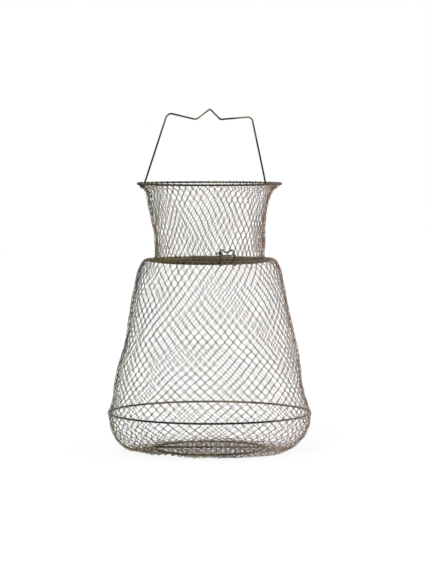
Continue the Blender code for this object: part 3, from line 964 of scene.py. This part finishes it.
@dataclass
class BaseWires:
    """The straight wire across the base ring and the short one tied to it."""

    turn: float = -VIEW_TURN
    rod_wire: float = 0.0025
    rod_y: float = -0.0100
    tie_wire: float = 0.0020
    tie_x: float = -0.0170
    gap: float = 0.0003

    def build(self, material: Material) -> None:
        """Make both wires, each one straight run between two points.

        Args:
            material: their material.
        """
        rod_z = BASE_RING.wire + self.gap + self.rod_wire / 2
        half = math.sqrt(BASE_RING.radius ** 2 - self.rod_y ** 2)
        rod = np.array([[-half, self.rod_y, rod_z], [half, self.rod_y, rod_z]])
        back = math.sqrt(BASE_RING.radius ** 2 - self.tie_x ** 2)
        high = rod_z + self.rod_wire / 2 + self.gap + self.tie_wire / 2
        low = BASE_RING.wire + 2 * self.gap + self.tie_wire / 2
        tie = np.array([[self.tie_x, self.rod_y, high], [self.tie_x, back, low]])
        for name, ends, wire in (
            ("base_cross_rod", rod, self.rod_wire), ("base_tie_wire", tie, self.tie_wire),
        ):
            t = np.linspace(0.0, 1.0, 25)[:, None]
            path = turned(ends[0] + (ends[1] - ends[0]) * t, self.turn)
            swept_wires(path[None], UP, wire / 2, 10).dressed(
                name + "_drawn", material, Slot.RING, Body.BASKET, name)


@dataclass
class Lid:
    """The sprung lid: its frame with the hinge bar, its finger tab and its hinge."""

    radius: float = 0.0880
    wire: float = 0.0024
    height: float = 0.3102
    half_bar: float = 0.0220
    tab_wire: float = 0.0022
    tab_radius: float = 0.0846
    tab_turn: float = math.radians(-8.3)
    tab_half_width: float = 0.0122
    tab_peak: float = 0.0202
    tab_hump: float = 0.0192
    tab_dip: float = 0.0155
    tab_bow: tuple = (-0.0070, -0.0025, 0.0020, 0.0060)
    tab_bends: tuple = (0.0024, 0.0030, 0.0040, 0.0030, 0.0030, 0.0055)
    cross_height: float = 0.0112
    cross_wire: float = 0.0016
    cross_tail: tuple = (-0.0095, -0.0010, -0.004275)
    wrap_turns: float = 2.5
    wrap_pitch: float = 0.0024
    loop_x: float = 0.0160
    loop_wire: float = 0.0016
    loop_bend: float = 0.0028
    spring_wire: float = 0.0011
    spring_radius: float = 0.0023
    spring_turns: int = 7
    spring_half_width: float = 0.0070
    lid_leg: float = 0.0260
    neck_leg: float = 0.0080
    gap: float = 0.0003

    @property
    def hinge_y(self) -> float:
        """Where the hinge bar lies."""
        return math.sqrt(self.radius ** 2 - self.half_bar ** 2)

    def frame_path(self) -> np.ndarray:
        """The frame: an arc of the circle, closed across the back by the straight bar.

        Returns:
            Its centre line, a closed one.
        """
        bar = math.asin(self.half_bar / self.radius)
        a = math.pi / 2 + bar + (math.tau - 2 * bar) * np.linspace(0.0, 1.0, 150)
        return circle(self.radius, a, self.height)

    def foot(self, side: float) -> np.ndarray:
        """A post's foot, from the inside under the frame and up its outer side.

        It is an arc from -20 to -180 degrees round the frame's wire, drop below it and
        stretched sideways so that it ends in line with the post.

        Args:
            side: -1 for the left post, 1 for the right.

        Returns:
            The foot's centre line.
        """
        drop = self.wire / 2 + self.tab_wire / 2 + self.gap
        a = np.radians(-20.0 - 160.0 * np.linspace(0.0, 1.0, 15))
        radius = self.radius + (self.radius - self.tab_radius) * np.cos(a)
        return points(side * self.tab_half_width, -radius, self.height + drop * np.sin(a))

    def tab_path(self) -> np.ndarray:
        """The finger tab: two hooked posts joined by a bow with a dip between two peaks.

        Returns:
            Its centre line.
        """
        y = -self.tab_radius
        peak = NECK_RING.height + self.tab_peak
        hump = NECK_RING.height + self.tab_hump
        dip = NECK_RING.height + self.tab_dip
        x = self.tab_half_width
        along = np.array([-x, -x, *self.tab_bow, x, x])
        up = np.array([self.height, peak, peak, dip, dip, hump, hump, self.height])
        bow = bent_path(points(along, y, up), np.array(self.tab_bends), 8)
        return np.concatenate([self.foot(-1.0), bow, self.foot(1.0)[::-1]])

    def cross_path(self) -> np.ndarray:
        """The cross wire: a short tail, a helix round the left post, a run and a hook.

        The helix is the post plus (bend cos(a), bend sin(a)), rising by its pitch a turn.

        Returns:
            Its centre line.
        """
        bend = self.tab_wire / 2 + self.cross_wire / 2 + self.gap
        height = NECK_RING.height + self.cross_height
        post = np.array([self.tab_half_width, self.tab_radius, 0.0])
        turned_by = math.tau * self.wrap_turns * np.linspace(0.0, 1.0, 60)
        a = math.pi / 2 - math.tau * self.wrap_turns + turned_by
        rise = self.wrap_pitch * (self.wrap_turns - turned_by / math.tau)
        wrap = circle(bend, a, height + rise) - post
        tail = wrap[0] + np.array(self.cross_tail) * np.linspace(1.0, 0.12, 8)[:, None]
        b = math.pi / 2 - math.radians(200.0) * np.linspace(0.0, 1.0, 14)
        hook = circle(bend, b, height) + post * np.array([1.0, -1.0, 0.0])
        return np.concatenate([tail, wrap, hook])

    def loop_path(self, side: float) -> np.ndarray:
        """A closed loop round the neck ring and the bar: two half circles and two runs.

        Args:
            side: -1 for the left loop, 1 for the right.

        Returns:
            Its centre line, a closed one.
        """
        upper = np.array([
            side * self.loop_x, math.sqrt(NECK_RING.radius ** 2 - self.loop_x ** 2),
            NECK_RING.height])
        lower = np.array([side * self.loop_x, self.hinge_y, self.height])
        along = unit(upper - lower)
        across = np.array([0.0, -along[2], along[1]])
        a = np.linspace(0.0, math.pi, 15)[:, None]
        swing = (across * np.cos(a) + along * np.sin(a)) * self.loop_bend
        return np.concatenate([upper + swing, lower - swing])

    def spring_path(self) -> np.ndarray:
        """The spring: a leg under the lid, a helix about the bar, a leg under the ring.

        The helix goes evenly along X while (Y, Z) turns about the bar.

        Returns:
            Its centre line.
        """
        axis = np.array([0.0, self.hinge_y, self.height])
        t = np.linspace(0.0, 1.0, 20 * self.spring_turns + 1)
        a = -math.pi / 2 + math.tau * self.spring_turns * t
        helix = axis + points(
            self.spring_half_width * (2 * t - 1), self.spring_radius * np.cos(a),
            self.spring_radius * np.sin(a))
        leg = np.linspace(1.0, 0.1, 6)[:, None] * np.array([0.0, -self.lid_leg, 0.0])
        lid_leg = axis + np.array([-self.spring_half_width, 0.0, -self.spring_radius]) + leg
        neck_leg = axis + np.array([
            [self.spring_half_width, self.neck_leg * 0.5, -self.spring_radius * 0.8],
            [self.spring_half_width, self.neck_leg, -self.spring_radius / 2]])
        return np.concatenate([lid_leg, helix, neck_leg])

    def build(self, ring_wire: Material) -> None:
        """Make the lid's wires and its hinge.

        Args:
            ring_wire: the rings' material.
        """
        tab_wire = PAINTED_DARK_TAB_WIRE.material()
        hinge_wire = HINGE_WIRE.material()
        swept_wires(self.frame_path()[None], UP, self.wire / 2, 12, True).dressed(
            "lid_frame_hoop", ring_wire, Slot.RING, Body.LID, "lid_frame")
        for name, path, wire, reference in (
            ("finger_tab", self.tab_path(), self.tab_wire, np.array([1.0, 1.0, 0.0])),
            ("tab_cross_wire", self.cross_path(), self.cross_wire, UP),
        ):
            swept_wires(
                turned(path, self.tab_turn)[None], turned(reference, self.tab_turn), wire / 2, 10,
            ).dressed(name + "_bent", tab_wire, Slot.TAB, Body.LID, name)
        for side, name in ((-1.0, "hinge_loop_left"), (1.0, "hinge_loop_right")):
            swept_wires(self.loop_path(side)[None], RIGHT, self.loop_wire / 2, 10, True).dressed(
                name + "_bent", hinge_wire, Slot.HINGE, Body.NECK, name)
        spring = swept_wires(self.spring_path()[None], RIGHT, self.spring_wire / 2, 8).made(
            "lid_spring_coiled", SPRING_WIRE.material(), Slot.SPRING)
        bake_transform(spring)
        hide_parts("lid_spring")


@dataclass
class Bail:
    """The bail: one bent wire with hooked feet, leaning a little to the front."""

    wire: float = 0.0030
    y: float = 0.0140
    lean: float = math.radians(8.0)
    hook_half_width: float = 0.0043
    gap: float = 0.0003
    knee: float = 0.0030
    tail: float = 0.0020
    left_corner: tuple = (-0.0785, 0.1205)
    left_valley: tuple = (-0.0250, 0.1093)
    peak: tuple = (-0.0010, 0.1268)
    right_valley: tuple = (0.0195, 0.1095)
    right_corner: tuple = (0.0780, 0.1140)
    bends: tuple = (0.010, 0.010, 0.012, 0.004, 0.005, 0.010, 0.010)

    @property
    def drop(self) -> float:
        """How far the line that it swings about lies under the top ring's centre."""
        return TOP_RING.wire / 2 + self.wire / 2 + self.gap

    @property
    def foot_x(self) -> float:
        """How far to either side its feet cross the top ring."""
        return math.sqrt(TOP_RING.radius ** 2 - self.y ** 2)

    def hook(self, side: float) -> np.ndarray:
        """A foot: its tail outside the ring, half a circle under it, then up inside.

        The half circle is (half width cos(a), drop (1 - sin(a))), a from 0 to pi.

        Args:
            side: -1 for the left foot, 1 for the right.

        Returns:
            The foot's centre line, upright, its Z counted from the bottom of the hook.
        """
        a = np.linspace(0.0, math.pi, 17)
        x = self.foot_x + self.hook_half_width * np.cos(a)
        arc = points(side * x, 0.0, self.drop * (1 - np.sin(a)))
        tail = np.array([[side * x[0], 0.0, self.drop + self.tail]])
        return np.concatenate([tail, arc])

    def build(self, material: Material) -> None:
        """Make the bail upright, then lean it about the line under the top ring.

        Args:
            material: its material.
        """
        leg_x = self.foot_x - self.hook_half_width
        low, high = self.drop + self.knee / 4, self.drop + self.knee
        flat = np.array([
            [-leg_x, low], [-leg_x, high], self.left_corner, self.left_valley, self.peak,
            self.right_valley, self.right_corner, [leg_x, high], [leg_x, low]])
        over = bent_path(points(flat[:, 0], 0.0, flat[:, 1]), np.array(self.bends), 9)
        upright = np.concatenate([self.hook(-1.0), over, self.hook(1.0)[::-1]])
        cosine, sine = math.cos(self.lean), math.sin(self.lean)
        path = points(
            upright[:, 0], self.y - sine * upright[:, 2],
            TOP_RING.height - self.drop + cosine * upright[:, 2])
        swept_wires(path[None], np.array([0.0, 1.0, 0.0]), self.wire / 2, 12).dressed(
            "bail_bent", material, Slot.BAIL, Body.BAIL, "bail")


@dataclass(frozen=True)
class Sun:
    """A lamp that shines evenly over the whole floor."""

    name: str
    place: tuple[float, float, float]
    spread: float
    power: float

    @property
    def steepness(self) -> float:
        """The share of its light that falls on the floor, as the sine of its height."""
        return self.place[2] / math.dist(self.place, (0.0, 0.0, 0.0))


@dataclass
class Studio:
    """The floor, the light and the camera."""

    azimuth: float = VIEW_TURN
    distance: float = 4.172
    camera_height: float = 0.5305
    aim_height: float = 0.2705
    aim_right: float = 0.0074
    lens: float = 160.2
    sky: float = 0.62
    floor_half: float = 6.0
    floor_share: float = 0.30
    floor_grey: float = 0.80
    floor_seen: float = 1.02
    suns: tuple = (
        Sun("key_sun", (-1.9, -1.6, 2.2), math.radians(28.0), 0.85),
        Sun("fill_sun", (2.2, -1.2, 1.4), math.radians(40.0), 0.40),
    )

    def floor(self) -> None:
        """Lay the floor, white to the camera and with the basket's shadow on it."""
        mesh = bpy.data.meshes.new("floor")
        corners = ((-1, -1), (1, -1), (1, 1), (-1, 1))
        mesh.from_pydata(
            [(x * self.floor_half, y * self.floor_half, 0.0) for x, y in corners],
            [], [(0, 1, 2, 3)])
        material = bpy.data.materials.new("pale_floor")
        material.use_nodes = True
        nodes = Tree(material.node_tree)
        nodes.tree.nodes.remove(nodes.tree.nodes["Principled BSDF"])
        plain = nodes.add("BsdfDiffuse", {"Color": (*(self.floor_grey,) * 3, 1.0)})
        shaded = nodes.add("BsdfDiffuse", {"Color": (*(self.floor_share,) * 3, 1.0)})
        light = self.sky + sum(sun.power * sun.steepness / math.pi for sun in self.suns)
        glow = nodes.add("Emission", {"Strength": self.floor_seen - self.floor_share * light})
        both = nodes.add("AddShader", {0: shaded.outputs[0], 1: glow.outputs[0]})
        mix = nodes.add("MixShader", {
            "Fac": self.seen(nodes), 1: plain.outputs[0], 2: both.outputs[0]})
        nodes.fill(nodes.tree.nodes["Material Output"], {"Surface": mix.outputs[0]})
        mesh.materials.append(material)
        obj = bpy.data.objects.new("floor", mesh)
        bpy.context.scene.collection.objects.link(obj)

    @staticmethod
    def seen(nodes: Tree) -> Socket:
        """Tell the rays that see the background from those that light the scene.

        Args:
            nodes: the node tree.

        Returns:
            1 for camera, glossy and transmission rays, otherwise 0.
        """
        rays = nodes.add("LightPath").outputs
        total = rays["Is Camera Ray"]
        for name in ("Is Glossy Ray", "Is Transmission Ray"):
            either = nodes.add("Math", {0: total, 1: rays[name]}, operation="MAXIMUM")
            total = either.outputs[0]
        return total

    def world(self) -> None:
        """Light the scene evenly from a sky that looks white."""
        world = bpy.data.worlds.new("white_room")
        bpy.context.scene.world = world
        world.use_nodes = True
        nodes = Tree(world.node_tree)
        strength = nodes.add("MapRange", {
            "Value": self.seen(nodes), "To Min": self.sky, "To Max": 1.0})
        nodes.fill(nodes.tree.nodes["Background"], {
            "Color": (1.0, 1.0, 1.0, 1.0), "Strength": strength.outputs["Result"]})

    @staticmethod
    def hang(sun: Sun) -> None:
        """Set a soft sun that points at the basket.

        Args:
            sun: the sun.
        """
        light = bpy.data.lights.new(sun.name, "SUN")
        light.angle = sun.spread
        light.energy = sun.power
        obj = bpy.data.objects.new(sun.name, light)
        obj.location = sun.place
        obj.rotation_euler = (-Vector(sun.place)).to_track_quat("-Z", "Y").to_euler()
        bpy.context.scene.collection.objects.link(obj)

    def camera(self) -> None:
        """Set the camera at the photograph's angle and distance."""
        lens = bpy.data.cameras.new("camera")
        lens.lens = self.lens
        lens.sensor_width = 36.0
        lens.clip_end = 50.0
        obj = bpy.data.objects.new("camera", lens)
        cosine, sine = math.cos(self.azimuth), math.sin(self.azimuth)
        side = Vector((cosine, -sine, 0.0)) * self.aim_right
        place = Vector((-self.distance * sine, -self.distance * cosine, self.camera_height))
        aim = Vector((0.0, 0.0, self.aim_height))
        obj.location = place + side
        obj.rotation_euler = (aim - place).to_track_quat("-Z", "Y").to_euler()
        bpy.context.scene.collection.objects.link(obj)
        bpy.context.scene.camera = obj

    def build(self) -> None:
        """Set up the whole studio."""
        bpy.context.scene.view_settings.view_transform = "Standard"
        self.floor()
        self.world()
        for sun in self.suns:
            self.hang(sun)
        self.camera()


def main() -> None:
    """Build and dress every piece of the keep net, then light it."""
    logging.basicConfig(level=logging.INFO)
    ring_wire = PAINTED_DARK_RING_WIRE.material()
    netting = NETTING_WIRE.material()
    weave = Weave()
    lid = Lid()
    for hoop in (TOP_RING, BELLY_RING, BASE_RING):
        hoop.build(ring_wire)
    NECK_RING.build(OLIVE_RING_WIRE.material())
    NetWalls(weave).build(netting)
    FlatNet(
        "base_netting", "base_net", Body.BASKET, BASE_RING.radius, BASE_RING.wire,
        BASE_RING.height, weave, turn=-VIEW_TURN).build(BASE_NETTING_WIRE.material())
    FlatNet(
        "lid_netting", "lid_net", Body.LID, lid.radius, lid.wire, lid.height, weave,
        bar=lid.hinge_y, bar_gap=0.0052).build(LID_NETTING_WIRE.material())
    BaseWires().build(ring_wire)
    lid.build(ring_wire)
    Bail().build(PLATED_BAIL_WIRE.material())
    Studio().build()


if __name__ == "__main__":
    main()
